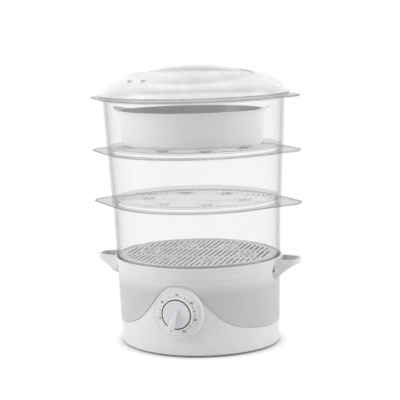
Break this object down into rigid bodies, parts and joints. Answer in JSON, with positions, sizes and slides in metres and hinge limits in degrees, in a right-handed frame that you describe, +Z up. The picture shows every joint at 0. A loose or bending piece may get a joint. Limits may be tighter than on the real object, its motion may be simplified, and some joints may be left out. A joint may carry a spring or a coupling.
{
  "type": "electric food steamer",
  "caption": "Oval electric food steamer with a timer base and water tank, stacked clear bowls on slotted trays, a rice bowl and a domed lid.",
  "frame": {"origin": "on the table, under the centre of the oval base", "axes": "+Z up, -Y towards the front with the timer knob, +X towards the right ear"},
  "size_m": [0.303, 0.234, 0.385],
  "materials": {
    "white_plastic": "glossy moulded white plastic",
    "grey_plastic": "satin moulded light grey plastic",
    "cover_plastic": "fine-grained moulded grey plastic",
    "foot_rubber": "matt rubber",
    "grommet_rubber": "matt grey rubber",
    "screw_steel": "zinc-plated steel",
    "dial_face": "satin white plastic with printed minute marks",
    "knob_plastic": "satin white plastic",
    "timer_steel": "bright pressed steel",
    "timer_plastic": "unfilled natural plastic",
    "brass": "turned brass",
    "heater_steel": "brushed stainless steel",
    "heater_aluminium": "cast aluminium",
    "element_steel": "heat-stained steel sheath",
    "gasket_silicone": "red silicone",
    "fuse_ceramic": "glazed ceramic",
    "sleeve_plastic": "satin white plastic",
    "clear_plastic": "clear polished polycarbonate",
    "tray_plastic": "clear polycarbonate with fine slots",
    "rice_plastic": "glossy pale grey plastic"
  },
  "bodies": {
    "base": {"lower_housing": "white_plastic", "wrap_panel": "grey_plastic", "water_tank": "white_plastic", "bottom_cover": "cover_plastic", "feet": "foot_rubber", "cover_screws": "screw_steel", "dial_plate": "dial_face", "timer_plate": "timer_steel", "timer_case": "timer_plastic", "timer_bush": "brass", "timer_bell": "timer_steel", "timer_contacts": "brass", "timer_screws": "screw_steel", "heater_plate": "heater_steel", "heater_casting": "heater_aluminium", "heater_element": "element_steel", "heater_gasket": "gasket_silicone", "heater_clamp": "timer_steel", "heater_screws": "screw_steel", "thermostat": "heater_aluminium", "thermal_fuse": "fuse_ceramic", "fuse_clip": "timer_steel", "terminal_block": "timer_plastic", "terminal_screws": "brass", "cord_grommet": "grommet_rubber"},
    "dial": {"knob": "knob_plastic", "timer_shaft": "brass", "timer_cam": "timer_plastic", "spring_drum": "timer_steel"},
    "sleeve": {"steam_sleeve": "sleeve_plastic"},
    "drip": {"drip_tray": "sleeve_plastic"},
    "lower_tier": {"lower_bowl": "clear_plastic"},
    "lower_insert": {"lower_tray": "tray_plastic"},
    "middle_tier": {"middle_bowl": "clear_plastic"},
    "middle_insert": {"middle_tray": "tray_plastic"},
    "upper_tier": {"upper_bowl": "clear_plastic"},
    "upper_insert": {"upper_tray": "tray_plastic"},
    "rice": {"rice_bowl": "rice_plastic"},
    "lid": {"lid_dome": "clear_plastic", "lid_handle": "clear_plastic", "handle_screw": "screw_steel"}
  },
  "joints": [
    {"name": "knob_turn", "type": "hinge", "parent": "base", "child": "dial", "pos_m": [0, -0.1, 0.062], "axis": [0, 1, 0], "range_deg": [0, 318]},
    {"name": "sleeve_lift", "type": "slide", "parent": "base", "child": "sleeve", "axis": [0, 0, 1], "range_m": [0, 0.09]},
    {"name": "drip_tray_lift", "type": "slide", "parent": "sleeve", "child": "drip", "axis": [0, 0, 1], "range_m": [0, 0.06]},
    {"name": "lower_bowl_lift", "type": "slide", "parent": "drip", "child": "lower_tier", "axis": [0, 0, 1], "range_m": [0, 0.06]},
    {"name": "lower_tray_lift", "type": "slide", "parent": "lower_tier", "child": "lower_insert", "axis": [0, 0, 1], "range_m": [0, 0.09]},
    {"name": "middle_bowl_lift", "type": "slide", "parent": "lower_insert", "child": "middle_tier", "axis": [0, 0, 1], "range_m": [0, 0.06]},
    {"name": "middle_tray_lift", "type": "slide", "parent": "middle_tier", "child": "middle_insert", "axis": [0, 0, 1], "range_m": [0, 0.085]},
    {"name": "upper_bowl_lift", "type": "slide", "parent": "middle_insert", "child": "upper_tier", "axis": [0, 0, 1], "range_m": [0, 0.06]},
    {"name": "upper_tray_lift", "type": "slide", "parent": "upper_tier", "child": "upper_insert", "axis": [0, 0, 1], "range_m": [0, 0.085]},
    {"name": "rice_bowl_lift", "type": "slide", "parent": "upper_insert", "child": "rice", "axis": [0, 0, 1], "range_m": [0, 0.09]},
    {"name": "lid_lift", "type": "slide", "parent": "rice", "child": "lid", "axis": [0, 0, 1], "range_m": [0, 0.06]}
  ]
}
